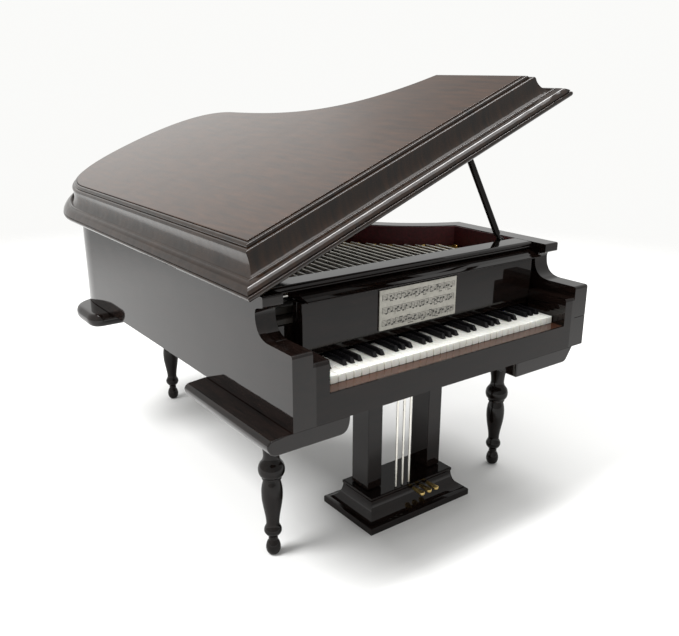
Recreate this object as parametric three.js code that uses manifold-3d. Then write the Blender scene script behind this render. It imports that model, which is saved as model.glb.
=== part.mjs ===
// A miniature grand piano: a display model about a tenth of the real size.
// All sizes are millimetres. While it is being built, x runs to the player's right from the
// middle of the case, y from the front of the arms to the tail, and z up from the floor.
// The last lines move the whole model so that its origin is the middle of its footprint.
import * as THREE from "three";
import { mergeVertices } from "three/addons/utils/BufferGeometryUtils.js";
import Module from "manifold-3d";

const wasm = await Module();
wasm.setup();

// ---- driving dimensions ------------------------------------------------------------------
const FOOTPRINT_SHIFT = [4.7, -120.35, 0]; // puts the origin under the middle of the model
const GAP = 0.3; // between glued pieces, so that each stays a body of its own
const CASE = { half: 75, bottom: 69.4, top: 111.3, wall: 8, straight: 182 };
const TREBLE_CORNER_Y = 77.8;
const ARM = { top: 96, front: 17.3, throat: 22.5, hollow: 8.5, nose: 107 };
const SLIP = { depth: 5.86, top: 79.8, earTop: 82.2, earFrom: 61 };
const KEY_BED_BACK = 60.7;
const KEY_BLOCK = { left: [-66.7, -60.3], right: [61.3, 66.7], top: 91.7, step: 85, back: 25.7, round: 1.4 };
const KEYS = { right: 61, pitch: 3.435, gap: 0.25, whites: 35 };
Object.assign(KEYS, { front: 6.1, rear: 23.3, bottom: 79.8, top: 82.9 });
const KEY_RAIL = { back: 25.5, drop: 0.4 }; // joins the keys behind the panel
const BLACK = { width: 2.0, front: 10.6, top: 84.9, slope: 0.8 };
const PANEL = { left: -57.8, right: 61.8, y: 20, bottom: 88, top: 105.6, thick: 3, end: 2 };
const STRIP = { setback: 1.2, thick: 1.8, bottom: 85.3 };
const SHEET = { left: -23.6, right: 15.8, bottom: 89, top: 104.7, thick: 0.6, clear: 0.1 };
const LEDGE = { left: -57, right: 65, front: 17, back: 30, top: 108.1 };
const SHELF = { front: 24, back: 34.3, bottom: 108.8 };
const RAIL = { front: 26, back: 30 };
const BOARD = { top: 99.2, thick: 2 };
const PLATE = { top: 101.5, width: 11, tabEvery: 8, tab: { x: 0.9, y: 0.6, z: 0.9 } };
const BRIDGE = { inset: 20, width: 3, skip: 16 };
const STRING = { z: 103, radius: 0.5, pitch: 4.2, front: 36.5, reach: 58.8, inset: 6 };
const CAPO = { before: 0.6, behind: 0.9, above: 0.8, beyond: 1 }; // the bar that the strings start from
const BLOCK_BOTTOM = 62.6;
const FRONT_BLOCK = { front: 1, back: 62 };
const TAIL_BLOCK = { left: -84.4, right: -18, front: 163.5, back: 213, edge: 3.6, rise: 2.6 };
const LEGS = { front: [62.6, 35.1], tail: [-29.3, 200.2] };
const LID = { corner: { x: -77, z: 112.2 }, angle: THREE.MathUtils.degToRad(21.9), thick: 13.5, panel: 3.5 };
const HINGE = { x: -76.4, z: 111.2, knuckle: 1, pin: 0.5, bore: 0.56, length: 18, at: [50, 150], play: 0.1 };
const LEAF = { near: -74.9, far: -69.5, thick: 0.4, lift: 0.05 };
const PROP = { foot: new THREE.Vector3(59.6, 37, 110.4), length: 58, radius: 1.5, below: 1.1 };
Object.assign(PROP, { end: 1.05, tip: 0.6, swellFrom: 2.6, swellTo: 46 }); // thinner at both ends
const EAR = { radius: 1.5, thick: 0.7, inner: 1.3, foot: 2.2 };
PROP.side = new THREE.Vector3(-Math.sqrt(3) / 2, -0.5, 0); // the axis that it folds about
PROP.lean = THREE.MathUtils.degToRad(23.8);
const LYRE = { x: 3.7, halfGap: 13.1, column: 7.5, front: 33, back: 44 };
const FOOT = { half: 28, front: 21, back: 54.5, plinth: 2.9, cap: 1.2, top: 12.5 };
const RODS = { first: -4.9, pitch: 3.6, y: 28.9, radius: 0.55 };
const PEDALS = { first: 3.5, pitch: 4, toe: 21.4, heel: 27.1, z: 9.6, thick: 1.2, round: 1.3 };
const DETAIL = 14; // points on each curve of a plan

// ---- materials ---------------------------------------------------------------------------
const finish = (color, roughness, metalness = 0) => ({ color, roughness, metalness });
const MAHOGANY = finish(0x1e0f0c, 0.12);
const LID_MAHOGANY = finish(0x2c120c, 0.15);
const LINING = finish(0x5a1418, 0.4);
const GOLD = finish(0xb08d45, 0.35, 0.8);
const BRASS = finish(0xc9a650, 0.3, 1);
const STEEL = finish(0xb8b8b8, 0.3, 1);
const SPRUCE = finish(0x2a2018, 0.5);
const IVORY = finish(0xf4f0e4, 0.35);
const EBONY = finish(0x0a0a0b, 0.25);
const CARD = finish(0xe8e4da, 0.8);

// ---- helpers -----------------------------------------------------------------------------
function toSolid(geometry) {
  const plain = geometry.index ? geometry.toNonIndexed() : geometry.clone();
  plain.deleteAttribute("normal");
  plain.deleteAttribute("uv");
  const merged = mergeVertices(plain, 1e-4);
  const vertProperties = new Float32Array(merged.attributes.position.array);
  const triVerts = new Uint32Array(merged.index.array);
  return new wasm.Manifold(new wasm.Mesh({ numProp: 3, vertProperties, triVerts }));
}

function toGeometry(solid) {
  const { vertProperties, triVerts } = solid.getMesh();
  const geometry = new THREE.BufferGeometry();
  geometry.setAttribute("position", new THREE.BufferAttribute(vertProperties, 3));
  geometry.setIndex(new THREE.BufferAttribute(triVerts, 1));
  geometry.computeVertexNormals();
  return geometry;
}

function join(geometries) {
  const [first, ...rest] = geometries.map(toSolid);
  return toGeometry(rest.reduce((whole, solid) => whole.add(solid), first));
}

function cut(geometry, cutters) {
  return toGeometry(cutters.map(toSolid).reduce((whole, solid) => whole.subtract(solid), toSolid(geometry)));
}

function box([x0, x1], [y0, y1], [z0, z1]) {
  const geometry = new THREE.BoxGeometry(x1 - x0, y1 - y0, z1 - z0);
  return geometry.translate((x0 + x1) / 2, (y0 + y1) / 2, (z0 + z1) / 2);
}

const straight = (depth, curveSegments = 8) => ({ depth, curveSegments, bevelEnabled: false });

// A plan outline in x and y, made solid from z0 up to z1.
function plate(shape, z0, z1) {
  return new THREE.ExtrudeGeometry(shape, straight(z1 - z0)).translate(0, 0, z0);
}

// A side outline in y and z, made solid from x0 to x1.
function alongX(shape, x0, x1) {
  const turn = new THREE.Matrix4().makeBasis(
    new THREE.Vector3(0, 1, 0),
    new THREE.Vector3(0, 0, 1),
    new THREE.Vector3(1, 0, 0),
  );
  return new THREE.ExtrudeGeometry(shape, straight(x1 - x0)).applyMatrix4(turn).translate(x0, 0, 0);
}

// A front outline in x and z, made solid from y0 to y1.
function alongY(shape, y0, y1) {
  const turn = new THREE.Matrix4().makeRotationX(Math.PI / 2);
  return new THREE.ExtrudeGeometry(shape, straight(y1 - y0)).applyMatrix4(turn).translate(0, y1, 0);
}

// A round bar from one point to another.
function bar(from, to, radius, sides = 12) {
  const along = new THREE.Vector3().subVectors(to, from);
  const up = new THREE.Vector3(0, 1, 0);
  const turn = new THREE.Quaternion().setFromUnitVectors(up, along.clone().normalize());
  const middle = new THREE.Vector3().addVectors(from, to).multiplyScalar(0.5);
  return new THREE.CylinderGeometry(radius, radius, along.length(), sides)
    .applyQuaternion(turn)
    .translate(middle.x, middle.y, middle.z);
}

// Moves each point of a path to its right by a distance, with mitred corners.
function offset(points, distance, closed = false) {
  const count = points.length;
  const normal = (i, j) => {
    const step = new THREE.Vector2().subVectors(points[j], points[i]).normalize();
    return new THREE.Vector2(step.y, -step.x);
  };
  return points.map((point, i) => {
    const first = !closed && i === 0;
    const last = !closed && i === count - 1;
    const before = first ? normal(0, 1) : normal((i + count - 1) % count, i);
    const after = last ? before : normal(i, (i + 1) % count);
    const mitre = before.clone().add(after).normalize();
    return point.clone().addScaledVector(mitre, distance / mitre.dot(before));
  });
}

// ---- the plan of the case ----------------------------------------------------------------
// Left side, round tail, hollow bentside and right side, from the left arm to the right arm.
function casePoints(front = 0) {
  const path = new THREE.Path();
  path.moveTo(-CASE.half, front);
  path.lineTo(-CASE.half, CASE.straight);
  path.bezierCurveTo(-CASE.half, 213, -56, 227, -22, 227);
  path.bezierCurveTo(6, 227, 21.5, 213, 22.5, 185);
  path.bezierCurveTo(24, 135, 28, 95, CASE.half, TREBLE_CORNER_Y);
  path.lineTo(CASE.half, front);
  return path.getPoints(DETAIL);
}

// The flat area inside the case, kept clear of the rim's outside by an inset.
function floorShape(inset, front) {
  return new THREE.Shape(offset(casePoints(front), inset));
}

// A strip between two insets, open at the front.
function bandShape(outer, inner, front) {
  const outside = offset(casePoints(front), outer);
  const inside = offset(casePoints(front), inner).reverse();
  return new THREE.Shape([...outside, ...inside]);
}

// ---- case --------------------------------------------------------------------------------
// What is cut away above the arms: their flat top, the hollow throat and the nose over it.
function armCutout() {
  const { top, front, throat, hollow, nose } = ARM;
  const shape = new THREE.Shape();
  shape.moveTo(-5, top - 1.2);
  shape.lineTo(0, top - 1.2);
  shape.quadraticCurveTo(0, top, 1.2, top);
  shape.lineTo(throat - hollow, top);
  shape.quadraticCurveTo(throat, top, throat, top + hollow);
  shape.quadraticCurveTo(throat, nose - 0.4, throat - 2.5, nose);
  shape.lineTo(front + 0.6, nose + 0.5);
  shape.quadraticCurveTo(front, nose + 0.6, front, nose + 1.2);
  shape.lineTo(front, CASE.top - 0.7);
  shape.quadraticCurveTo(front, CASE.top, front + 0.7, CASE.top);
  shape.lineTo(front + 0.7, CASE.top + 4);
  shape.lineTo(-5, CASE.top + 4);
  return shape;
}

function caseRim() {
  const wall = plate(bandShape(0, CASE.wall, 0), CASE.bottom, CASE.top);
  const overArms = alongX(armCutout(), -90, 90);
  const slipSeat = box([-90, 90], [-1, SLIP.depth + GAP], [0, SLIP.earTop + GAP]);
  return cut(wall, [overArms, slipSeat]);
}

function rimLining() {
  const from = CASE.wall + 0.1;
  return plate(bandShape(from, from + 0.8, SHELF.back + GAP), PLATE.top + GAP, CASE.top - GAP);
}

function bottomBoard() {
  return plate(floorShape(CASE.wall + GAP, KEY_BED_BACK + GAP), CASE.bottom, CASE.bottom + 4);
}

function keyBed() {
  const half = CASE.half - CASE.wall - GAP;
  return box([-half, half], [SLIP.depth + GAP, KEY_BED_BACK], [CASE.bottom, KEYS.bottom - GAP]);
}

// The front board: low below the keys, with a raised ear at each end.
function keySlip() {
  const { earFrom, earTop, top, depth } = SLIP;
  const shape = new THREE.Shape();
  shape.moveTo(-CASE.half, CASE.bottom);
  shape.lineTo(CASE.half, CASE.bottom);
  shape.lineTo(CASE.half, earTop);
  shape.lineTo(earFrom, earTop);
  shape.lineTo(earFrom, top);
  shape.lineTo(-earFrom, top);
  shape.lineTo(-earFrom, earTop);
  shape.lineTo(-CASE.half, earTop);
  return alongY(shape, 0, depth);
}

// A key block, stepped over the keys' rail.
function keyBlock([x0, x1]) {
  const { top, step, back, round } = KEY_BLOCK;
  const shape = new THREE.Shape();
  shape.moveTo(0, SLIP.earTop + GAP);
  shape.lineTo(SLIP.depth + GAP, SLIP.earTop + GAP);
  shape.lineTo(SLIP.depth + GAP, KEYS.bottom);
  shape.lineTo(back, KEYS.bottom);
  shape.lineTo(back, step);
  shape.lineTo(PANEL.y - GAP, step);
  shape.lineTo(PANEL.y - GAP, top);
  shape.lineTo(round, top);
  shape.quadraticCurveTo(0, top, 0, top - round);
  return alongX(shape, x0, x1);
}

// ---- keys --------------------------------------------------------------------------------
const keysLeft = KEYS.right - KEYS.whites * KEYS.pitch;

function whiteKeys() {
  const width = KEYS.pitch - KEYS.gap;
  const keys = Array.from({ length: KEYS.whites }, (_, i) => {
    const x = keysLeft + i * KEYS.pitch + KEYS.gap / 2;
    return box([x, x + width], [KEYS.front, KEYS.rear + 1], [KEYS.bottom, KEYS.top]);
  });
  const across = [keysLeft + KEYS.gap / 2, KEYS.right - KEYS.gap / 2];
  const rail = box(across, [KEYS.rear, KEY_RAIL.back], [KEYS.bottom, KEYS.top - KEY_RAIL.drop]);
  return join([...keys, rail]);
}

// One black key, whose front slopes back as it rises.
function blackKey(x) {
  const { width, front, top, slope } = BLACK;
  const foot = KEYS.top + 0.1;
  const shape = new THREE.Shape();
  shape.moveTo(front, foot);
  shape.lineTo(KEYS.rear + 1, foot);
  shape.lineTo(KEYS.rear + 1, top);
  shape.lineTo(front + slope, top);
  return alongX(shape, x - width / 2, x + width / 2);
}

// Black keys stand on every gap between whites, but not after the third or seventh of an octave.
function blackKeys() {
  const places = [];
  for (let i = 1; i < KEYS.whites; i++) {
    if (i % 7 !== 3 && i % 7 !== 0) places.push(keysLeft + i * KEYS.pitch);
  }
  const across = [places[0] - BLACK.width / 2, places.at(-1) + BLACK.width / 2];
  const rail = box(across, [KEYS.rear, KEY_RAIL.back], [KEYS.top + 0.1, BLACK.top]);
  return join([...places.map(blackKey), rail]);
}

// ---- front panel, ledge and shelf --------------------------------------------------------
function fallboardStrip() {
  const front = PANEL.y + STRIP.setback;
  return box([PANEL.left, PANEL.right], [front, front + STRIP.thick], [STRIP.bottom, PANEL.bottom - GAP]);
}

function frontPanel() {
  return box([PANEL.left, PANEL.right], [PANEL.y, PANEL.y + PANEL.thick], [PANEL.bottom, PANEL.top]);
}

function panelEnd(x0, x1) {
  return box([x0, x1], [PANEL.y + PANEL.thick + GAP, KEY_BLOCK.back], [STRIP.bottom, PANEL.top]);
}

function musicCard() {
  const back = PANEL.y - SHEET.clear;
  return box([SHEET.left, SHEET.right], [back - SHEET.thick, back], [SHEET.bottom, SHEET.top]);
}

// A board with a bead and a groove along its front edge.
function beadedBoard([x0, x1], [y0, y1], [z0, z1]) {
  const mid = (z0 + z1) / 2;
  const shape = new THREE.Shape();
  shape.moveTo(y1, z0);
  shape.lineTo(y1, z1);
  shape.lineTo(y0 + 0.6, z1);
  shape.quadraticCurveTo(y0 - 0.2, (z1 + mid) / 2, y0 + 0.5, mid + 0.15);
  shape.lineTo(y0 + 0.5, mid - 0.15);
  shape.quadraticCurveTo(y0 - 0.2, (z0 + mid) / 2, y0 + 0.6, z0);
  return alongX(shape, x0, x1);
}

function ledge() {
  return beadedBoard([LEDGE.left, LEDGE.right], [LEDGE.front, LEDGE.back], [PANEL.top + GAP, LEDGE.top]);
}

function stretcherShelf() {
  const half = CASE.half - CASE.wall - GAP;
  return beadedBoard([-half, half], [SHELF.front, SHELF.back], [SHELF.bottom, CASE.top]);
}

function bellyRail() {
  const half = CASE.half - CASE.wall - GAP;
  return box([-half, half], [RAIL.front, RAIL.back], [KEYS.bottom, BOARD.top - BOARD.thick - GAP]);
}

// ---- plate, soundboard and strings -------------------------------------------------------
function soundboard() {
  return plate(floorShape(CASE.wall + GAP, RAIL.front), BOARD.top - BOARD.thick, BOARD.top);
}

// A flat gold frame round the soundboard, with a row of hitch tabs standing on it.
function stringPlate() {
  const outer = CASE.wall + GAP;
  const { top, width, tabEvery, tab } = PLATE;
  const frame = plate(bandShape(outer, outer + width, SHELF.back + 4), BOARD.top + GAP, top);
  const tabs = hitchPlaces(tabEvery).map(({ x, y }) =>
    box([x - tab.x, x + tab.x], [y - tab.y, y + tab.y], [top - 0.5, top + tab.z]),
  );
  return join([frame, ...tabs]);
}

// Points spaced along the curved part of the case, just inside the lining.
function hitchPlaces(spacing) {
  const line = offset(casePoints(SHELF.back), CASE.wall + 3).slice(1, -1);
  const curve = new THREE.CatmullRomCurve3(line.map(({ x, y }) => new THREE.Vector3(x, y, 0)));
  const count = Math.floor(curve.getLength() / spacing);
  return curve.getSpacedPoints(count).slice(1, -1);
}

function tuningBlock() {
  const half = CASE.half - CASE.wall - 1.2;
  const heights = [BOARD.top + GAP, STRING.z - STRING.radius - GAP];
  return box([-half, half], [RAIL.back, STRING.front + 1.2], heights);
}

function bridge() {
  const { inset, width, skip } = BRIDGE;
  const rising = offset(casePoints(60), CASE.wall + inset);
  const falling = offset(casePoints(60), CASE.wall + inset + width).reverse();
  const shape = new THREE.Shape([...rising.slice(skip, -2), ...falling.slice(2, -skip)]);
  return plate(shape, BOARD.top + GAP, STRING.z - STRING.radius - GAP);
}

// Where a line of constant x meets the inside of the plate, towards the tail.
function stringEnd(x) {
  const line = offset(casePoints(), CASE.wall + STRING.inset);
  const crossings = line.slice(1).flatMap((b, i) => {
    const a = line[i];
    const inside = (a.x - x) * (b.x - x) <= 0 && a.x !== b.x;
    return inside ? [a.y + ((x - a.x) / (b.x - a.x)) * (b.y - a.y)] : [];
  });
  const beyond = crossings.filter((y) => y > STRING.front);
  return Math.min(...beyond);
}

// The strings, held together by the bar that they start from.
function strings() {
  const { z, radius, pitch, front, reach } = STRING;
  const rods = [];
  for (let x = -reach; x <= reach; x += pitch) {
    const back = stringEnd(x);
    rods.push(bar(new THREE.Vector3(x, front, z), new THREE.Vector3(x, back, z), radius, 6));
  }
  const { before, behind, above, beyond } = CAPO;
  const across = [-reach - beyond, reach + beyond];
  const capo = box(across, [front - before, front + behind], [z - radius, z + above]);
  return join([capo, ...rods]);
}

// ---- legs --------------------------------------------------------------------------------
// A turned leg: ball foot, ring, long taper, bulge, neck and flared top.
function leg() {
  const top = BLOCK_BOTTOM - GAP;
  const outline = new THREE.Path();
  outline.moveTo(0, 0);
  outline.lineTo(1.3, 0);
  outline.bezierCurveTo(3.2, 0.6, 3.5, 4.2, 1.85, 6.4);
  outline.lineTo(1.85, 8);
  outline.lineTo(2.9, 9.2);
  outline.quadraticCurveTo(4, 10.6, 3.1, 12.2);
  outline.lineTo(2.55, 13.4);
  outline.bezierCurveTo(2.6, 18, 4.2, 22, 4.2, 27);
  outline.bezierCurveTo(4.2, 30, 3.6, 31.5, 3.3, 33);
  outline.lineTo(3.85, 33.4);
  outline.lineTo(3.85, 34.3);
  outline.bezierCurveTo(5.6, 35.4, 5.6, 38.6, 4.2, 40.2);
  outline.quadraticCurveTo(3, 41.6, 3.1, 43.4);
  outline.bezierCurveTo(3.2, 47.5, 4.6, 50, 4.7, 54);
  outline.lineTo(4.7, top);
  outline.lineTo(0, top);
  return new THREE.LatheGeometry(outline.getPoints(3), 16).rotateX(Math.PI / 2);
}

function legBlockLeft() {
  const top = CASE.bottom - GAP;
  const shape = new THREE.Shape();
  shape.moveTo(-50.8, top);
  shape.quadraticCurveTo(-50.8, BLOCK_BOTTOM, -55, BLOCK_BOTTOM);
  shape.lineTo(-80.4, BLOCK_BOTTOM);
  shape.quadraticCurveTo(-82.6, BLOCK_BOTTOM, -83.6, 64.6);
  shape.quadraticCurveTo(-85.3, 67.4, -82.4, 68.5);
  shape.lineTo(-76, top);
  return alongY(shape, FRONT_BLOCK.front, FRONT_BLOCK.back);
}

function legBlockRight() {
  const top = CASE.bottom - GAP;
  const shape = new THREE.Shape();
  shape.moveTo(34.3, top);
  shape.lineTo(34.3, BLOCK_BOTTOM);
  shape.lineTo(64, BLOCK_BOTTOM);
  shape.quadraticCurveTo(65.8, BLOCK_BOTTOM, 66.6, 63.8);
  shape.lineTo(70.2, top);
  return alongY(shape, FRONT_BLOCK.front, FRONT_BLOCK.back);
}

// The block under the tail, with a nose all round and a round corner at the back left.
function legBlockTail() {
  const { left, right, front, back, edge, rise } = TAIL_BLOCK;
  const shape = new THREE.Shape();
  shape.moveTo(left, front);
  shape.lineTo(left, 181);
  shape.quadraticCurveTo(left, 198, -66, 200);
  shape.quadraticCurveTo(-46, 203, -40, back);
  shape.lineTo(right, back);
  shape.lineTo(right, front);
  const geometry = new THREE.ExtrudeGeometry(shape, {
    depth: CASE.bottom - GAP - BLOCK_BOTTOM - 2 * rise,
    curveSegments: 8,
    bevelThickness: rise,
    bevelSize: edge,
    bevelOffset: -edge,
    bevelSegments: 3,
  });
  return geometry.translate(0, 0, BLOCK_BOTTOM + rise);
}

// ---- lyre --------------------------------------------------------------------------------
// A stack of rectangles, one above the other, joined into one solid.
function rectangleStack(levels) {
  const corners = levels.flatMap(({ x, y, z }) => {
    const [[x0, x1], [y0, y1]] = [x, y];
    return [x0, y0, z, x1, y0, z, x1, y1, z, x0, y1, z];
  });
  const faces = [0, 2, 1, 0, 3, 2];
  for (let level = 0; level < levels.length - 1; level++) {
    for (let side = 0; side < 4; side++) {
      const a = level * 4 + side;
      const b = level * 4 + ((side + 1) % 4);
      faces.push(a, b, b + 4, a, b + 4, a + 4);
    }
  }
  const last = (levels.length - 1) * 4;
  faces.push(last, last + 1, last + 2, last, last + 2, last + 3);
  const geometry = new THREE.BufferGeometry();
  geometry.setAttribute("position", new THREE.Float32BufferAttribute(corners, 3));
  geometry.setIndex(faces);
  geometry.computeVertexNormals();
  return geometry;
}

// The foot of the lyre: a low plinth under a hollow that sweeps in to a small top.
function lyreBase() {
  const { half, front, back, plinth, cap, top } = FOOT;
  const neck = top - cap;
  const level = (z, inset) => ({
    x: [LYRE.x - half + 5.8 * inset, LYRE.x + half - 5.8 * inset],
    y: [front + 7.4 * inset, back - 8 * inset],
    z,
  });
  const hollow = [0.1, 0.35, 0.6, 0.8, 0.93].map((t) => {
    const angle = (t * Math.PI) / 2;
    return level(plinth + (neck - plinth) * (1 - Math.cos(angle)), 0.9 * Math.sin(angle));
  });
  return rectangleStack([level(0, 0), level(plinth, 0), ...hollow, level(neck, 0.9), level(top, 0.9)]);
}

function lyreColumn(x) {
  return box([x, x + LYRE.column], [LYRE.front, LYRE.back], [FOOT.top + GAP, CASE.bottom - GAP]);
}

function pedalRod(x) {
  const end = (z) => new THREE.Vector3(x, RODS.y, z);
  return bar(end(CASE.bottom - GAP), end(FOOT.top + GAP), RODS.radius, 10);
}

// A flat pedal tongue that widens towards its round toe.
function pedal(x) {
  const { toe, heel, z, thick, round } = PEDALS;
  const shape = new THREE.Shape();
  shape.moveTo(x - 0.7, heel);
  shape.lineTo(x - 1.2, toe + 0.6);
  shape.absarc(x, toe, round, Math.PI * 0.85, Math.PI * 2.15);
  shape.lineTo(x + 0.7, heel);
  return plate(shape, z, z + thick);
}

// ---- lid ---------------------------------------------------------------------------------
// The lid is drawn shut: x and y as in plan, z up from its own underside.
function lidPoints() {
  const path = new THREE.Path();
  path.moveTo(-68.1, 28.3);
  path.lineTo(-68.1, 190);
  path.bezierCurveTo(-68.1, 216, -52, 227.8, -24, 227.8);
  path.bezierCurveTo(4, 227.8, 20.8, 214, 21.8, 190);
  path.bezierCurveTo(23.2, 137, 28.5, 97, 73.8, 80.5);
  path.lineTo(72.8, 28.3);
  return path.getPoints(DETAIL);
}

// The moulding's outline, as distances out from the top panel and heights over the underside.
function mouldingProfile() {
  const outline = new THREE.Path();
  outline.moveTo(0, LID.thick - 0.4);
  outline.lineTo(0.9, LID.thick - 0.4);
  outline.quadraticCurveTo(1.5, 12.7, 1.3, 12.2);
  outline.lineTo(2.7, 12);
  outline.quadraticCurveTo(3.5, 11.6, 3.2, 11);
  outline.bezierCurveTo(3.4, 9, 4.6, 6, 7.6, 4.5);
  outline.bezierCurveTo(9.6, 5, 12.4, 4.4, 12.7, 2.8);
  outline.lineTo(12.1, 2.1);
  outline.lineTo(12.9, 1.6);
  outline.quadraticCurveTo(13, 0.5, 12, 0);
  outline.lineTo(0, 0);
  return outline.getPoints(2);
}

// Sweeps the profile round the lid, with mitred corners.
function lidMoulding() {
  const profile = mouldingProfile();
  const rings = profile.map(({ x }) => offset(lidPoints(), -x, true));
  const count = rings[0].length;
  const positions = rings.flatMap((ring, i) => ring.flatMap((point) => [point.x, point.y, profile[i].y]));
  const faces = [];
  rings.forEach((_, i) => {
    const next = (i + 1) % rings.length;
    for (let j = 0; j < count; j++) {
      const k = (j + 1) % count;
      const [a, b, c, d] = [i * count + j, i * count + k, next * count + k, next * count + j];
      faces.push(a, b, c, a, c, d);
    }
  });
  const geometry = new THREE.BufferGeometry();
  geometry.setAttribute("position", new THREE.Float32BufferAttribute(positions, 3));
  geometry.setIndex(faces);
  return geometry;
}

function lidPanel() {
  return plate(new THREE.Shape(offset(lidPoints(), GAP, true)), LID.thick - LID.panel, LID.thick);
}

// A corner block inside the lid that the propped stick leans against.
function propCleat() {
  const heights = [0.5, LID.thick - LID.panel - 0.1];
  return join([box([59.7, 62.2], [53.2, 61.5], heights), box([55.5, 62.2], [53.2, 55.1], heights)]);
}

// ---- hinges ------------------------------------------------------------------------------
const pinAt = (y) => new THREE.Vector3(HINGE.x, y, HINGE.z);

function knuckle(centre, y0, y1) {
  const end = (y) => new THREE.Vector3(centre.x, y, centre.z);
  return bar(end(y0), end(y1), HINGE.knuckle, 20);
}

function drilled(geometry, centre) {
  const end = (y) => new THREE.Vector3(centre.x, y, centre.z);
  return cut(geometry, [bar(end(0), end(260), HINGE.bore, 20)]);
}

// The leaf on the rim, with a knuckle at each end.
function hingeCaseLeaf(y) {
  const third = HINGE.length / 3;
  const heights = [CASE.top + LEAF.lift, CASE.top + LEAF.lift + LEAF.thick];
  const body = box([LEAF.near, LEAF.far], [y, y + HINGE.length], heights);
  const ends = [y, y + 2 * third + HINGE.play].map((from) => [from, from + third - HINGE.play]);
  const arms = ends.map((span) => box([HINGE.x, LEAF.far], span, heights));
  const barrels = ends.map((span) => knuckle(HINGE, ...span));
  return drilled(join([body, ...arms, ...barrels]), HINGE);
}

// The hinge axis as it lies in the shut lid's own frame.
function axisInLid() {
  const { corner, angle } = LID;
  const dx = HINGE.x - corner.x;
  const dz = HINGE.z - corner.z;
  return {
    x: corner.x + dx * Math.cos(angle) + dz * Math.sin(angle),
    z: -dx * Math.sin(angle) + dz * Math.cos(angle),
  };
}

// The leaf under the lid, with the middle knuckle.
function hingeLidLeaf(y) {
  const axis = axisInLid();
  const third = HINGE.length / 3;
  const heights = [-LEAF.lift - LEAF.thick, -LEAF.lift];
  const span = [y + third + HINGE.play, y + 2 * third - HINGE.play];
  const body = box([axis.x + 1.5, LEAF.far], [y, y + HINGE.length], heights);
  const arm = box([axis.x, LEAF.far], span, heights);
  const barrel = knuckle(axis, ...span);
  return drilled(join([body, arm, barrel]), axis);
}

function hingePin(y) {
  return bar(pinAt(y - 0.3), pinAt(y + HINGE.length + 0.3), HINGE.pin, 16);
}

// ---- prop --------------------------------------------------------------------------------
// Everything here is drawn with the pivot at the origin and its axis along x, then turned.
function atPropFoot(geometry) {
  const turn = Math.atan2(-PROP.side.y, -PROP.side.x);
  return geometry.rotateZ(turn).translate(PROP.foot.x, PROP.foot.y, PROP.foot.z);
}

function propStick() {
  const { radius, length, below, end, tip, swellFrom, swellTo } = PROP;
  const across = 2 * radius;
  const hole = bar(new THREE.Vector3(-across, 0, 0), new THREE.Vector3(across, 0, 0), HINGE.bore, 16);
  const rod = new THREE.LatheGeometry(
    [
      new THREE.Vector2(0, -below),
      new THREE.Vector2(0.75, -0.9),
      new THREE.Vector2(end, -0.3),
      new THREE.Vector2(end, swellFrom),
      new THREE.Vector2(radius, swellFrom + 0.8),
      new THREE.Vector2(radius, swellTo),
      new THREE.Vector2(end, swellTo + 2),
      new THREE.Vector2(end, length - 0.5),
      new THREE.Vector2(tip, length),
      new THREE.Vector2(0, length),
    ],
    16,
  ).rotateX(Math.PI / 2);
  return atPropFoot(cut(rod, [hole]).rotateX(-PROP.lean));
}

function propEar(x) {
  const { radius, thick } = EAR;
  const shape = new THREE.Shape();
  shape.moveTo(-radius, -2);
  shape.lineTo(radius, -2);
  shape.lineTo(radius, 0);
  shape.absarc(0, 0, radius, 0, Math.PI);
  return alongX(shape, x, x + thick);
}

function propBracket() {
  const { radius, thick, inner, foot } = EAR;
  const outer = inner + thick;
  const bore = bar(new THREE.Vector3(-3, 0, 0), new THREE.Vector3(3, 0, 0), HINGE.bore, 16);
  const base = box([-outer, outer], [-radius, radius], [-foot, -radius]);
  return atPropFoot(cut(join([base, propEar(inner), propEar(-outer)]), [bore]));
}

function propPin() {
  const half = EAR.inner + EAR.thick + GAP;
  return atPropFoot(bar(new THREE.Vector3(-half, 0, 0), new THREE.Vector3(half, 0, 0), HINGE.pin, 16));
}

// ---- assembly ----------------------------------------------------------------------------
function mesh(name, geometry, look, position = [0, 0, 0]) {
  const part = new THREE.Mesh(geometry, new THREE.MeshStandardMaterial(look));
  part.name = name;
  part.position.set(...position);
  return part;
}

function lidAssembly() {
  const lid = new THREE.Group();
  lid.position.set(LID.corner.x, 0, LID.corner.z);
  lid.rotation.y = -LID.angle;
  const shut = new THREE.Group();
  shut.position.x = -LID.corner.x;
  shut.add(mesh("lid_moulding", lidMoulding(), LID_MAHOGANY));
  shut.add(mesh("lid_panel", lidPanel(), LID_MAHOGANY));
  shut.add(mesh("prop_cleat", propCleat(), LID_MAHOGANY));
  HINGE.at.forEach((y, i) => shut.add(mesh(`hinge_lid_leaf_${i + 1}`, hingeLidLeaf(y), BRASS)));
  lid.add(shut);
  return lid;
}

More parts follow.
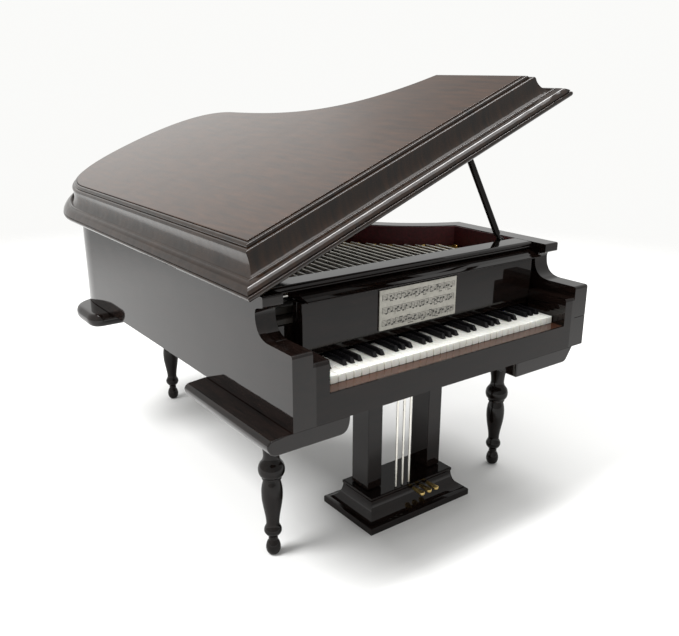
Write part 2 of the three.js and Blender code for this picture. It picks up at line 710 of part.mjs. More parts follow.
const piano = new THREE.Group();
piano.position.set(...FOOTPRINT_SHIFT);
piano.add(
  mesh("case_rim", caseRim(), MAHOGANY),
  mesh("rim_lining", rimLining(), LINING),
  mesh("bottom_board", bottomBoard(), MAHOGANY),
  mesh("key_bed", keyBed(), MAHOGANY),
  mesh("key_slip", keySlip(), MAHOGANY),
  mesh("key_block_left", keyBlock(KEY_BLOCK.left), MAHOGANY),
  mesh("key_block_right", keyBlock(KEY_BLOCK.right), MAHOGANY),
  mesh("white_keys", whiteKeys(), IVORY),
  mesh("black_keys", blackKeys(), EBONY),
  mesh("fallboard_strip", fallboardStrip(), MAHOGANY),
  mesh("front_panel", frontPanel(), MAHOGANY),
  mesh("panel_end_left", panelEnd(PANEL.left, PANEL.left + PANEL.end), MAHOGANY),
  mesh("panel_end_right", panelEnd(PANEL.right - PANEL.end, PANEL.right), MAHOGANY),
  mesh("ledge", ledge(), MAHOGANY),
  mesh("music_card", musicCard(), CARD),
  mesh("stretcher_shelf", stretcherShelf(), MAHOGANY),
  mesh("belly_rail", bellyRail(), MAHOGANY),
  mesh("soundboard", soundboard(), SPRUCE),
  mesh("string_plate", stringPlate(), GOLD),
  mesh("tuning_block", tuningBlock(), SPRUCE),
  mesh("bridge", bridge(), SPRUCE),
  mesh("strings", strings(), STEEL),
  mesh("leg_block_left", legBlockLeft(), MAHOGANY),
  mesh("leg_block_right", legBlockRight(), MAHOGANY),
  mesh("leg_block_tail", legBlockTail(), MAHOGANY),
  mesh("leg_front_left", leg(), MAHOGANY, [-LEGS.front[0], LEGS.front[1], 0]),
  mesh("leg_front_right", leg(), MAHOGANY, [...LEGS.front, 0]),
  mesh("leg_tail", leg(), MAHOGANY, [...LEGS.tail, 0]),
  mesh("lyre_base", lyreBase(), MAHOGANY),
  mesh("lyre_column_left", lyreColumn(LYRE.x - LYRE.halfGap - LYRE.column), MAHOGANY),
  mesh("lyre_column_right", lyreColumn(LYRE.x + LYRE.halfGap), MAHOGANY),
  lidAssembly(),
  mesh("prop_stick", propStick(), MAHOGANY),
  mesh("prop_bracket", propBracket(), BRASS),
  mesh("prop_pin", propPin(), STEEL),
);
[0, 1, 2].forEach((i) => {
  piano.add(mesh(`pedal_rod_${i + 1}`, pedalRod(RODS.first + i * RODS.pitch), STEEL));
  piano.add(mesh(`pedal_${i + 1}`, pedal(PEDALS.first + i * PEDALS.pitch), BRASS));
});
HINGE.at.forEach((y, i) => {
  piano.add(mesh(`hinge_case_leaf_${i + 1}`, hingeCaseLeaf(y), BRASS));
  piano.add(mesh(`hinge_pin_${i + 1}`, hingePin(y), STEEL));
});

const model = new THREE.Group();
model.add(piano);
export default model;
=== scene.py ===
"""Looks of the miniature grand piano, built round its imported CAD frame.

Shapes are drawn in millimetres in the piano's own plan: x to the player's right from the middle of
the case, y from the front of the arms to the tail, z up from the floor. place() turns them into
metres in the frame's coordinates.
"""

import math
import random

import bmesh
import bpy
from mathutils import Matrix, Vector


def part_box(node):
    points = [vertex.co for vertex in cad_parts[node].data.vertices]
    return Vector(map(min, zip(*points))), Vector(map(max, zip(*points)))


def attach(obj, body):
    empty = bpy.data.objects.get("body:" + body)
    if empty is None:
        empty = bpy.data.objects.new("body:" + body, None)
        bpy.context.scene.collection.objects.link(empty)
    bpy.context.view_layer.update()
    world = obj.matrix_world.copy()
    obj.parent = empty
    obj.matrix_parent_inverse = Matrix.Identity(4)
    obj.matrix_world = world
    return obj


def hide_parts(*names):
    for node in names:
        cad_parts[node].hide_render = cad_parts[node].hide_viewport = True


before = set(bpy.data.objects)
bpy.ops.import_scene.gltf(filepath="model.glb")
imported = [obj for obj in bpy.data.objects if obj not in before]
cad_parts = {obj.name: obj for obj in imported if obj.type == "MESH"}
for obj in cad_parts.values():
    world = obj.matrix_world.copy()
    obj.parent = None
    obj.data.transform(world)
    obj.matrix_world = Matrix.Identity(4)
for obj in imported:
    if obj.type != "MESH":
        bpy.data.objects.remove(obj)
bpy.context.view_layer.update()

MM = 0.001
RIM_LOW, RIM_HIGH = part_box("case_rim")
PLAN_ORIGIN = Vector(((RIM_LOW.x + RIM_HIGH.x) / 2, RIM_LOW.y, 0))

# ---- sizes in millimetres ------------------------------------------------------------------
HALF = 75
CASE_BOTTOM, CASE_TOP, WALL = 69.4, 111.3, 8
BLOCK_BOTTOM, BLOCK_FRONT, BLOCK_BACK = 62.6, 1, 62
TAIL_NOSE, TAIL_LEVELS = 3.4, 12
PLATE_TOP, PLATE_WIDTH, PLATE_FRONT = 101.5, 11, 38.3
HITCH_SPACING, HITCH_INSET, HITCH_FRONT = 8, 3, 40
BRIDGE_INSET, BRIDGE_WIDTH, BRIDGE_FRONT = 20, 3, 60
BOARD_TOP = 99.2
KEYS_RIGHT, KEY_PITCH, WHITE_COUNT = 61, 3.435, 35
KEYS_LEFT = KEYS_RIGHT - WHITE_COUNT * KEY_PITCH
KEY_FRONT, KEY_REAR, KEY_BOTTOM, KEY_TOP = 6.1, 24.3, 79.8, 82.9
KEY_GAP, OCTAVE = 0.3, 7
SLIP_BACK, SLIP_TOP = 5.86, 79.8
KEY_BLOCK_LEFT, KEY_BLOCK_RIGHT, ARM_INSIDE = -60.3, 61.3, 70
SEAM_Z, SEAM_HALF = 82.3, 0.12
BLACK_FRONT, BLACK_TOP, BLACK_WIDTH = 11.2, 84.9, 1.9
STRING_Z, STRING_PITCH, STRING_FRONT, STRING_REACH = 103, 4.2, 36.5, 58.8
STRING_RADIUS, STRING_INSET = 0.62, 6
CAPO_FRONT, CAPO_BACK, CAPO_BELOW, CAPO_ABOVE, CAPO_BEYOND = 0.6, 0.9, 0.35, 0.8, 1
LINING_THICK, LINING_FRONT = 0.8, 34.6
LID_CORNER = Vector((-77, 0, 112.2))
LID_ANGLE = math.radians(21.9)
LID_THICK, LID_PANEL = 13.5, 3.5
LYRE_X, LYRE_TOP, LYRE_PLINTH, LYRE_CAP = 3.7, 12.5, 2.9, 1.2
LYRE_HALF, LYRE_FRONT, LYRE_BACK = 28, 21, 54.5
TOE_RADIUS, PEDAL_THICK, WIRE_RADIUS = 1.3, 1.2, 0.5
GAP = 0.3


# ---- drawing helpers -----------------------------------------------------------------------
class Outline:
    """A flat outline made of lines and curves, kept as points."""

    def __init__(self, x, y, steps=12):
        self.points = [Vector((x, y))]
        self.steps = steps

    def line(self, x, y):
        self.points.append(Vector((x, y)))
        return self

    def curve(self, *coordinates):
        """A Bezier curve of the second or third degree from the last point."""
        hold = [self.points[-1]]
        hold += [Vector(coordinates[i:i + 2]) for i in range(0, len(coordinates), 2)]
        for step in range(1, self.steps + 1):
            level = hold
            while len(level) > 1:
                level = [a.lerp(b, step / self.steps) for a, b in zip(level, level[1:])]
            self.points.append(level[0])
        return self


def offset(points, distance, closed=False):
    """Moves each point of a path to its right by a distance, with mitred corners."""
    count = len(points)

    def normal(i, j):
        step = (points[j] - points[i]).normalized()
        return Vector((step.y, -step.x))

    moved = []
    for i, point in enumerate(points):
        first = not closed and i == 0
        last = not closed and i == count - 1
        before = normal(0, 1) if first else normal(i - 1, i)
        after = before if last else normal(i, (i + 1) % count)
        mitre = (before + after).normalized()
        moved.append(point + mitre * (distance / mitre.dot(before)))
    return moved


def case_points(front=0, steps=40):
    """The plan of the case: left side, round tail, hollow bentside and right side."""
    path = Outline(-HALF, front, steps)
    path.line(-HALF, 182)
    path.curve(-HALF, 213, -56, 227, -22, 227)
    path.curve(6, 227, 21.5, 213, 22.5, 185)
    path.curve(24, 135, 28, 95, HALF, 77.8)
    path.line(HALF, front)
    return path.points


def band(outer, inner, front, steps=40):
    """A strip of the plan between two insets, open at the front."""
    points = case_points(front, steps)
    return offset(points, outer) + offset(points, inner)[::-1]


def lid_points(steps=40):
    """The plan of the lid's top panel."""
    path = Outline(-68.1, 28.3, steps)
    path.line(-68.1, 190)
    path.curve(-68.1, 216, -52, 227.8, -24, 227.8)
    path.curve(4, 227.8, 20.8, 214, 21.8, 190)
    path.curve(23.2, 137, 28.5, 97, 73.8, 80.5)
    path.line(72.8, 28.3)
    return path.points


def place(points):
    return [Vector(p) * MM + PLAN_ORIGIN for p in points]


def lid_place(points):
    """The same for points of the shut lid, measured up from its underside."""
    turn = Matrix.Rotation(-LID_ANGLE, 4, "Y")
    moved = [Vector((p[0] - LID_CORNER.x, p[1], p[2])) for p in points]
    return place([turn @ p + LID_CORNER for p in moved])


def prism(outline, low, high, axis="Z"):
    """Corners and faces of an outline made solid from low to high along an axis."""
    build = {
        "X": lambda p, h: (h, p.x, p.y),
        "Y": lambda p, h: (p.x, h, p.y),
        "Z": lambda p, h: (p.x, p.y, h),
    }[axis]
    count = len(outline)
    corners = [build(p, low) for p in outline] + [build(p, high) for p in outline]
    faces = [list(range(count)), list(range(count, 2 * count))]
    faces += [[i, (i + 1) % count, (i + 1) % count + count, i + count] for i in range(count)]
    return corners, faces


def block(x, y, z):
    """Corners and faces of a box between pairs of limits."""
    corners = [(x[0], y[0]), (x[1], y[0]), (x[1], y[1]), (x[0], y[1])]
    return prism([Vector(corner) for corner in corners], *z)


def lathe(profile, sides, centre=(0, 0)):
    """A turned solid: the profile holds (radius, height) and starts and ends on the axis."""
    corners, faces = [], []
    rings = profile[1:-1]
    for radius, height in rings:
        for side in range(sides):
            angle = 2 * math.pi * side / sides
            x, y = centre[0] + radius * math.cos(angle), centre[1] + radius * math.sin(angle)
            corners.append((x, y, height))
    for ring in range(len(rings) - 1):
        for side in range(sides):
            a = ring * sides + side
            b = ring * sides + (side + 1) % sides
            faces.append([a, b, b + sides, a + sides])
    faces.append(list(range(sides)))
    faces.append(list(range(len(corners) - sides, len(corners))))
    return corners, faces


def together(parts):
    """Joins several (corners, faces) pairs into one."""
    corners, faces = [], []
    for part_corners, part_faces in parts:
        first = len(corners)
        corners += list(part_corners)
        faces += [[first + i for i in face] for face in part_faces]
    return corners, faces


def rod(start, end, radius, sides=16):
    """A round bar between two points."""
    start, end = Vector(start), Vector(end)
    along = (end - start).normalized()
    across = along.orthogonal().normalized()
    other = along.cross(across)
    circle = [
        radius * (math.cos(2 * math.pi * i / sides) * across + math.sin(2 * math.pi * i / sides) * other)
        for i in range(sides)
    ]
    corners = [start + c for c in circle] + [end + c for c in circle]
    faces = [list(range(sides)), list(range(sides, 2 * sides))]
    faces += [[i, (i + 1) % sides, (i + 1) % sides + sides, i + sides] for i in range(sides)]
    return corners, faces


def plain_object(name, shape, to_frame=place):
    corners, faces = shape
    mesh = bpy.data.meshes.new(name)
    mesh.from_pydata(to_frame(corners), [], faces)
    work = bmesh.new()
    work.from_mesh(mesh)
    bmesh.ops.recalc_face_normals(work, faces=work.faces)
    work.to_mesh(mesh)
    work.free()
    thing = bpy.data.objects.new(name, mesh)
    bpy.context.scene.collection.objects.link(thing)
    return thing


def settle(thing):
    """Applies an object's modifiers to its mesh."""
    bpy.context.view_layer.update()
    graph = bpy.context.evaluated_depsgraph_get()
    mesh = bpy.data.meshes.new_from_object(thing.evaluated_get(graph))
    thing.modifiers.clear()
    thing.data = mesh


def round_edges(thing, width, segments=3):
    bevel = thing.modifiers.new("edges", "BEVEL")
    bevel.width = width * MM
    bevel.segments = segments
    bevel.limit_method = "ANGLE"
    bevel.angle_limit = math.radians(35)
    settle(thing)


def shade(thing, angle=40):
    thing.data.shade_smooth()
    thing.data.set_sharp_from_angle(angle=math.radians(angle))
    weighted = thing.modifiers.new("normals", "WEIGHTED_NORMAL")
    weighted.keep_sharp = True
    settle(thing)


def combine(thing, shape, operation):
    """Cuts a shape out of a piece (DIFFERENCE) or joins it on (UNION)."""
    other = plain_object("other", shape)
    boolean = thing.modifiers.new("boolean", "BOOLEAN")
    boolean.object = other
    boolean.operation = operation
    boolean.solver = "EXACT"
    settle(thing)
    bpy.data.objects.remove(other)


def tidy_flats(thing):
    """Joins faces that lie in one plane, so that edges can be rounded cleanly."""
    work = bmesh.new()
    work.from_mesh(thing.data)
    bmesh.ops.remove_doubles(work, verts=work.verts, dist=2e-6)
    bmesh.ops.dissolve_limit(work, angle_limit=math.radians(0.4), verts=work.verts, edges=work.edges)
    work.to_mesh(thing.data)
    work.free()


def split_at(thing, x):
    """Adds edges where a plane of constant x crosses a piece, without changing its shape."""
    work = bmesh.new()
    work.from_mesh(thing.data)
    everything = [*work.verts, *work.edges, *work.faces]
    bmesh.ops.bisect_plane(work, geom=everything, plane_co=place([(x, 0, 0)])[0], plane_no=(1, 0, 0))
    work.to_mesh(thing.data)
    work.free()


def finish_piece(thing, material, body, nodes, edge=0.0, angle=40):
    """Rounds and shades a piece, gives it its material, and hands it to its body."""
    if edge:
        round_edges(thing, edge)
    shade(thing, angle)
    thing.data.materials.clear()
    thing.data.materials.append(material)
    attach(thing, body)
    if nodes:
        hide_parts(*nodes)
    return thing


def make(name, shape, material, nodes=(), body="case", edge=0.0, angle=40, to_frame=place):
    return finish_piece(plain_object(name, shape, to_frame), material, body, nodes, edge, angle)


def refine(node, material, edge, body="case"):
    """A copy of a CAD node with rounded edges, which stands in its place."""
    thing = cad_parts[node].copy()
    thing.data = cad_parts[node].data.copy()
    thing.name = node + "_finished"
    thing.parent = None
    for key in list(thing.keys()):
        del thing[key]
    bpy.context.scene.collection.objects.link(thing)
    tidy_flats(thing)
    return finish_piece(thing, material, body, [node], edge)


# ---- materials -----------------------------------------------------------------------------
class Nodes:
    """A material's node tree with short ways to add and link nodes."""

    def __init__(self, name):
        self.material = bpy.data.materials.new(name)
        self.material.use_nodes = True
        self.tree = self.material.node_tree
        self.shader = self.tree.nodes["Principled BSDF"]

    def set(self, **values):
        for key, value in values.items():
            self.shader.inputs[key.replace("_", " ")].default_value = value

    def add(self, kind, **settings):
        node = self.tree.nodes.new(kind)
        for key, value in settings.items():
            if key in node.inputs:
                node.inputs[key].default_value = value
            else:
                setattr(node, key, value)
        return node

    def link(self, source, target):
        self.tree.links.new(source, target)

    def position(self, scale):
        """Object coordinates stretched by a scale on each axis."""
        coordinates = self.add("ShaderNodeTexCoord")
        mapping = self.add("ShaderNodeMapping")
        mapping.inputs["Scale"].default_value = scale
        self.link(coordinates.outputs["Object"], mapping.inputs["Vector"])
        return mapping.outputs["Vector"]

    def noise(self, scale, size, detail=3.0, roughness=0.55, distortion=0.0):
        texture = self.add("ShaderNodeTexNoise", Scale=size, Detail=detail, Roughness=roughness)
        texture.inputs["Distortion"].default_value = distortion
        self.link(self.position(scale), texture.inputs["Vector"])
        return texture.outputs["Fac"]

    def ramp(self, factor, *stops):
        """A colour ramp; each stop is a place and a colour."""
        ramp = self.add("ShaderNodeValToRGB")
        elements = ramp.color_ramp.elements
        while len(elements) < len(stops):
            elements.new(0.5)
        for element, (place_at, colour) in zip(elements, stops):
            element.position = place_at
            element.color = (*colour, 1)
        self.link(factor, ramp.inputs["Fac"])
        return ramp.outputs["Color"]

    def bump(self, height, strength, distance, below=None):
        bump = self.add("ShaderNodeBump")
        bump.inputs["Strength"].default_value = strength
        bump.inputs["Distance"].default_value = distance
        self.link(height, bump.inputs["Height"])
        if below is not None:
            self.link(below, bump.inputs["Normal"])
        return bump.outputs["Normal"]

    def range(self, factor, low, high):
        """Maps 0..1 to low..high."""
        mapped = self.add("ShaderNodeMapRange")
        mapped.inputs["To Min"].default_value = low
        mapped.inputs["To Max"].default_value = high
        self.link(factor, mapped.inputs["Value"])
        return mapped.outputs["Result"]


def lacquered_wood(name, dark, light, grain=(1, 1, 1), coat=1.0, coat_roughness=0.04, wave=0.1,
                   ripple_size=55):
    """Dark open grain under a thick gloss lacquer, whose surface waves a little."""
    nodes = Nodes(name)
    streaks = nodes.noise(tuple(9 if g else 1 for g in grain), 60, detail=6, roughness=0.6, distortion=0.4)
    nodes.link(nodes.ramp(streaks, (0.32, dark), (0.72, light)), nodes.shader.inputs["Base Color"])
    nodes.set(Roughness=0.4, Specular_IOR_Level=0.0)
    nodes.set(Coat_Weight=coat, Coat_Roughness=coat_roughness, Coat_IOR=1.44)
    ripple = nodes.noise((1, 1, 1), ripple_size, detail=1.5)
    pores = nodes.noise(tuple(14 if g else 1 for g in grain), 220, detail=2)
    waved = nodes.bump(ripple, wave, 0.0006)
    nodes.link(waved, nodes.shader.inputs["Coat Normal"])
    nodes.link(nodes.bump(pores, 0.05, 0.0002, waved), nodes.shader.inputs["Normal"])
    return nodes.material


def metal(name, colour, roughness, worn=0.35):
    nodes = Nodes(name)
    patches = nodes.noise((1, 1, 1), 180, detail=4)
    shade_of = tuple(c * (1 - worn) for c in colour)
    nodes.link(nodes.ramp(patches, (0.3, shade_of), (0.65, colour)), nodes.shader.inputs["Base Color"])
    nodes.link(nodes.range(patches, roughness * 0.7, roughness * 1.5), nodes.shader.inputs["Roughness"])
    nodes.set(Metallic=1.0)
    return nodes.material


def gold_paint():
    nodes = Nodes("gold_paint")
    flakes = nodes.noise((1, 1, 1), 700, detail=3)
    colour = nodes.ramp(flakes, (0.3, (0.20, 0.13, 0.035)), (0.7, (0.56, 0.42, 0.17)))
    nodes.link(colour, nodes.shader.inputs["Base Color"])
    nodes.set(Metallic=0.55, Roughness=0.42)
    nodes.link(nodes.bump(flakes, 0.3, 0.0001), nodes.shader.inputs["Normal"])
    return nodes.material


def velvet():
    nodes = Nodes("burgundy_lining")
    nap = nodes.noise((1, 1, 1), 900, detail=4)
    colour = nodes.ramp(nap, (0.3, (0.045, 0.003, 0.006)), (0.7, (0.11, 0.008, 0.014)))
    nodes.link(colour, nodes.shader.inputs["Base Color"])
    nodes.set(Roughness=0.5, Sheen_Weight=0.2, Sheen_Roughness=0.4)
    nodes.link(nodes.bump(nap, 0.25, 0.0001), nodes.shader.inputs["Normal"])
    return nodes.material


def ivory():
    nodes = Nodes("ivory")
    mottle = nodes.noise((1, 1, 1), 140, detail=3)
    colour = nodes.ramp(mottle, (0.3, (0.83, 0.81, 0.74)), (0.65, (0.91, 0.895, 0.84)))
    nodes.link(colour, nodes.shader.inputs["Base Color"])
    nodes.set(Roughness=0.38, Coat_Weight=0.3, Coat_Roughness=0.2, Subsurface_Weight=0.05)
    nodes.link(nodes.bump(mottle, 0.15, 0.0002), nodes.shader.inputs["Normal"])
    return nodes.material


def ebony():
    nodes = Nodes("ebony")
    grain = nodes.noise((1, 0.1, 1), 500, detail=3)
    colour = nodes.ramp(grain, (0.3, (0.003, 0.003, 0.004)), (0.7, (0.010, 0.009, 0.010)))
    nodes.link(colour, nodes.shader.inputs["Base Color"])
    nodes.set(Roughness=0.35, Specular_IOR_Level=0.15, Coat_Weight=0.15, Coat_Roughness=0.15)
    nodes.link(nodes.bump(grain, 0.1, 0.0001), nodes.shader.inputs["Normal"])
    return nodes.material


def stained_board():
    nodes = Nodes("stained_board")
    grain = nodes.noise((8, 1, 1), 60, detail=5)
    colour = nodes.ramp(grain, (0.3, (0.006, 0.005, 0.004)), (0.7, (0.020, 0.015, 0.010)))
    nodes.link(colour, nodes.shader.inputs["Base Color"])
    nodes.set(Roughness=0.6)
    nodes.link(nodes.bump(grain, 0.2, 0.0002), nodes.shader.inputs["Normal"])
    return nodes.material


def card_stock():
    nodes = Nodes("card_stock")
    fibres = nodes.noise((1, 1, 1), 600, detail=5)
    colour = nodes.ramp(fibres, (0.3, (0.36, 0.35, 0.31)), (0.7, (0.46, 0.445, 0.40)))
    nodes.link(colour, nodes.shader.inputs["Base Color"])
    nodes.set(Roughness=0.8)
    nodes.link(nodes.bump(fibres, 0.2, 0.0001), nodes.shader.inputs["Normal"])
    return nodes.material


def ink():
    nodes = Nodes("ink")
    spread = nodes.noise((1, 1, 1), 900, detail=2)
    colour = nodes.ramp(spread, (0.3, (0.03, 0.03, 0.03)), (0.7, (0.09, 0.085, 0.08)))
    nodes.link(colour, nodes.shader.inputs["Base Color"])
    nodes.set(Roughness=0.8)
    return nodes.material


DARK, DARK_LIGHT = (0.002, 0.0014, 0.0012), (0.009, 0.005, 0.004)
CASE_WOOD = lacquered_wood("case_mahogany", DARK, DARK_LIGHT, (1, 0, 1), coat=0.85)
# Front faces take a copy of the case lacquer with a thinner coat: its dimmer reflection is painted shade,
# standing in for the dark things in front of the piano that the gloss would mirror.
SHADED_FRONT_WOOD = lacquered_wood("front_mahogany_painted_shade", DARK, DARK_LIGHT, (0, 1, 1), coat=0.6)
TURNED_WOOD = lacquered_wood("turned_mahogany", (0.002, 0.0016, 0.0014), (0.009, 0.006, 0.005),
                             (1, 1, 0), coat=0.5)
LID_WOOD = lacquered_wood("lid_mahogany", (0.012, 0.0045, 0.0015), (0.035, 0.013, 0.004),
                          (1, 0, 0), coat_roughness=0.06)
# The lid's border has a darker copy of the lid lacquer: the darker base is painted shade for the
# mouldings, which lie in shadow.
SHADED_BORDER_WOOD = lacquered_wood("border_mahogany_painted_shade", (0.004, 0.002, 0.001), (0.016, 0.007, 0.003),
                             (1, 0, 0), coat_roughness=0.05, wave=0.2, ripple_size=160)
# Much lighter brown than the case lacquer: painted reflection of the white key fronts in the front board's
# gloss.
SLIP_REFLECTION_WOOD = lacquered_wood("slip_painted_reflection", (0.03, 0.012, 0.007), (0.07, 0.03, 0.018),
                           (0, 1, 1), coat_roughness=0.12)
BRASS = metal("brass", (0.80, 0.58, 0.22), 0.25)
STEEL = metal("steel", (0.78, 0.76, 0.7), 0.28, 0.2)
GOLD = gold_paint()
LINING = velvet()
IVORY = ivory()
EBONY = ebony()
BOARD = stained_board()
CARD = card_stock()
INK = ink()


# ---- case ----------------------------------------------------------------------------------
def arm_cutout():
    """What is cut away above the arms: flat top, hollow throat and the nose over it."""
    path = Outline(-5, 94.8)
    path.line(0, 94.8).curve(0, 96, 1.2, 96)
    path.line(14, 96).curve(22.5, 96, 22.5, 104.5).curve(22.5, 106.6, 20, 107)
    path.line(17.9, 107.5).curve(17.3, 107.6, 17.3, 108.2)
    path.line(17.3, 110.6).curve(17.3, 111.3, 18, 111.3)
    path.line(18, 118).line(-5, 118)
    return path.points


def key_block_outline():
    """The side of a key block, from the front board back to the panel."""
    path = Outline(0, 75)
    path.line(19.7, 75).line(19.7, 91.7).line(1.6, 91.7).curve(0, 91.7, 0, 90.1)
    return path.points


def case_body():
    """The rim with its arms, the front board and the key blocks, lacquered over as one."""
    body = plain_object("case_body", prism(band(0, WALL, 0), CASE_BOTTOM, CASE_TOP))
    combine(body, prism(arm_cutout(), -90, 90, "X"), "DIFFERENCE")
    slip = block((-ARM_INSIDE, ARM_INSIDE), (0, SLIP_BACK), (CASE_BOTTOM, SLIP_TOP))
    combine(body, slip, "UNION")
    for ends in ((-ARM_INSIDE, KEY_BLOCK_LEFT), (KEY_BLOCK_RIGHT, ARM_INSIDE)):
        combine(body, prism(key_block_outline(), *ends, "X"), "UNION")
    seam = (SEAM_Z - SEAM_HALF, SEAM_Z + SEAM_HALF)
    combine(body, block((68, 90), (-1, 0.25), seam), "DIFFERENCE")
    combine(body, block((74.8, 90), (-1, 6), seam), "DIFFERENCE")
    tidy_flats(body)
    for side in (-1, 1):
        split_at(body, side * (HALF - WALL - 1.2))
    nodes = ["case_rim", "key_slip", "key_block_left", "key_block_right"]
    finish_piece(body, CASE_WOOD, "case", nodes, 0.55)
    # Front faces between the arms get the thinner-coated lacquer, whose dimmer reflection is painted
    # shade.
    body.data.materials.append(SHADED_FRONT_WOOD)
    for face in body.data.polygons:
        middle = (face.center - PLAN_ORIGIN) / MM
        if face.normal.y < -0.5 and abs(middle.x) < 66:
            face.material_index = 1


def slip_reflection_sheet():
    """A thin sheet on the front board's top, in front of the keys, whose lighter brown is a painted
    reflection of the key fronts.
    """
    shape = block((KEYS_LEFT - 0.8, KEYS_RIGHT + 0.2), (0.75, 5.9), (79.7, 79.86))
    return make("slip_reflection_sheet", shape, SLIP_REFLECTION_WOOD)


def rim_lining():
    inset = WALL + 0.1
    plan = band(inset, inset + LINING_THICK, LINING_FRONT)
    shape = prism(plan, PLATE_TOP + GAP, CASE_TOP - 0.3)
    return make("lining", shape, LINING, ["rim_lining"], edge=0.15)


def limits(node):
    """The limits of a node in millimetres, as pairs for x, y and z."""
    low, high = (corner - PLAN_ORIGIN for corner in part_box(node))
    return [(low[i] / MM, high[i] / MM) for i in range(3)]


def cross_shelf():
    """The board across the case, with a broad rounded front over a bead."""
    x, (y0, y1), (z0, z1) = limits("stretcher_shelf")
    path = Outline(y1, z0)
    path.line(y1, z1).line(y0 + 2.1, z1).curve(y0 + 0.5, z1, y0 + 0.35, z0 + 1.15)
    path.line(y0 + 0.75, z0 + 1.0).line(y0 + 0.5, z0 + 0.85).curve(y0 - 0.3, z0 + 0.45, y0 + 0.5, z0)
    shape = prism(path.points, *x, "X")
    return make("cross_shelf", shape, CASE_WOOD, ["stretcher_shelf"], edge=0.1)


def panel_ledge():
    """The ledge over the panel: its top slopes to a rounded front over a bead."""
    x, (y0, y1), (z0, z1) = limits("ledge")
    path = Outline(y1, z0)
    path.line(y1, z1 + 0.4).line(y0 + 8, z1 + 0.4).line(y0 + 2.8, z1 - 1.1)
    path.curve(y0 + 0.6, z1 - 1.5, y0 + 0.4, z0 + 0.65)
    path.line(y0 + 0.7, z0 + 0.55).line(y0 + 0.5, z0 + 0.5).curve(y0 - 0.1, z0 + 0.25, y0 + 0.5, z0)
    shape = prism(path.points, *x, "X")
    return make("panel_ledge", shape, CASE_WOOD, ["ledge"], edge=0.08)


def leg_block_left():
    top = CASE_BOTTOM - GAP
    path = Outline(-50.8, top)
    path.curve(-50.8, BLOCK_BOTTOM, -55, BLOCK_BOTTOM)
    path.line(-80.4, BLOCK_BOTTOM).curve(-82.6, BLOCK_BOTTOM, -83.6, 64.6)
    path.curve(-85.3, 67.4, -82.4, 68.5).line(-76, top)
    shape = prism(path.points, BLOCK_FRONT, BLOCK_BACK, "Y")
    return make("front_block_left", shape, CASE_WOOD, ["leg_block_left"], edge=0.5)


def leg_block_right():
    top = CASE_BOTTOM - GAP
    path = Outline(34.3, top)
    path.line(34.3, BLOCK_BOTTOM).line(64, BLOCK_BOTTOM)
    path.curve(65.8, BLOCK_BOTTOM, 66.6, 63.8).line(70.2, top)
    shape = prism(path.points, BLOCK_FRONT, BLOCK_BACK, "Y")
    return make("front_block_right", shape, CASE_WOOD, ["leg_block_right"], edge=0.5)


def leg_block_tail():
    """The block under the tail, with a rounded nose all round."""
    path = Outline(-18, 163.5)
    path.line(-77.4, 163.5).curve(-84.4, 163.5, -84.4, 170.5).line(-84.4, 181)
    path.curve(-84.4, 198, -66, 200).curve(-46, 203, -40, 213).line(-18, 213)
    top = CASE_BOTTOM - GAP
    middle = (top + BLOCK_BOTTOM) / 2
    half = (top - BLOCK_BOTTOM) / 2
    rings = []
    for level in range(TAIL_LEVELS + 1):
        lean = math.pi * (level / TAIL_LEVELS - 0.5)
        rings.append((middle + half * math.sin(lean), TAIL_NOSE * (1 - math.cos(lean) ** 0.7)))
    corners = []
    for height, inset in rings:
        corners += [(p.x, p.y, height) for p in offset(path.points, inset, True)]
    count = len(path.points)
    faces = [list(range(count)), list(range(len(corners) - count, len(corners)))]
    for ring in range(TAIL_LEVELS):
        for i in range(count):
            a, b = ring * count + i, ring * count + (i + 1) % count
            faces.append([a, b, b + count, a + count])
    return make("tail_block", (corners, faces), CASE_WOOD, ["leg_block_tail"])


def leg(name, node):
    low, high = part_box(node)
    centre = (low + high) / 2 - PLAN_ORIGIN
    top = BLOCK_BOTTOM - GAP
    path = Outline(0, 0, 10)
    path.line(1.3, 0).curve(3.2, 0.6, 3.5, 4.2, 1.85, 6.4)
    path.line(1.85, 8).line(2.9, 9.2).curve(4, 10.6, 3.1, 12.2)
    path.line(2.55, 13.4).curve(2.6, 18, 4.2, 22, 4.2, 27)
    path.curve(4.2, 30, 3.6, 31.5, 3.3, 33).line(3.85, 33.4).line(3.85, 34.3)
    path.curve(5.6, 35.4, 5.6, 38.6, 4.2, 40.2).curve(3, 41.6, 3.1, 43.4)
    path.curve(3.2, 47.5, 4.6, 50, 4.7, 54).line(4.7, top).line(0, top)
    shape = lathe([tuple(p) for p in path.points], 56, (centre.x / MM, centre.y / MM))
    return make(name, shape, TURNED_WOOD, [node], angle=30)


# ---- keys ----------------------------------------------------------------------------------
def white_keys():
    width = KEY_PITCH - KEY_GAP
    lefts = [KEYS_LEFT + i * KEY_PITCH + KEY_GAP / 2 for i in range(WHITE_COUNT)]
    keys = [block((x, x + width), (KEY_FRONT, KEY_REAR), (KEY_BOTTOM, KEY_TOP)) for x in lefts]
    return make("ivory_keys", together(keys), IVORY, ["white_keys"], edge=0.28)


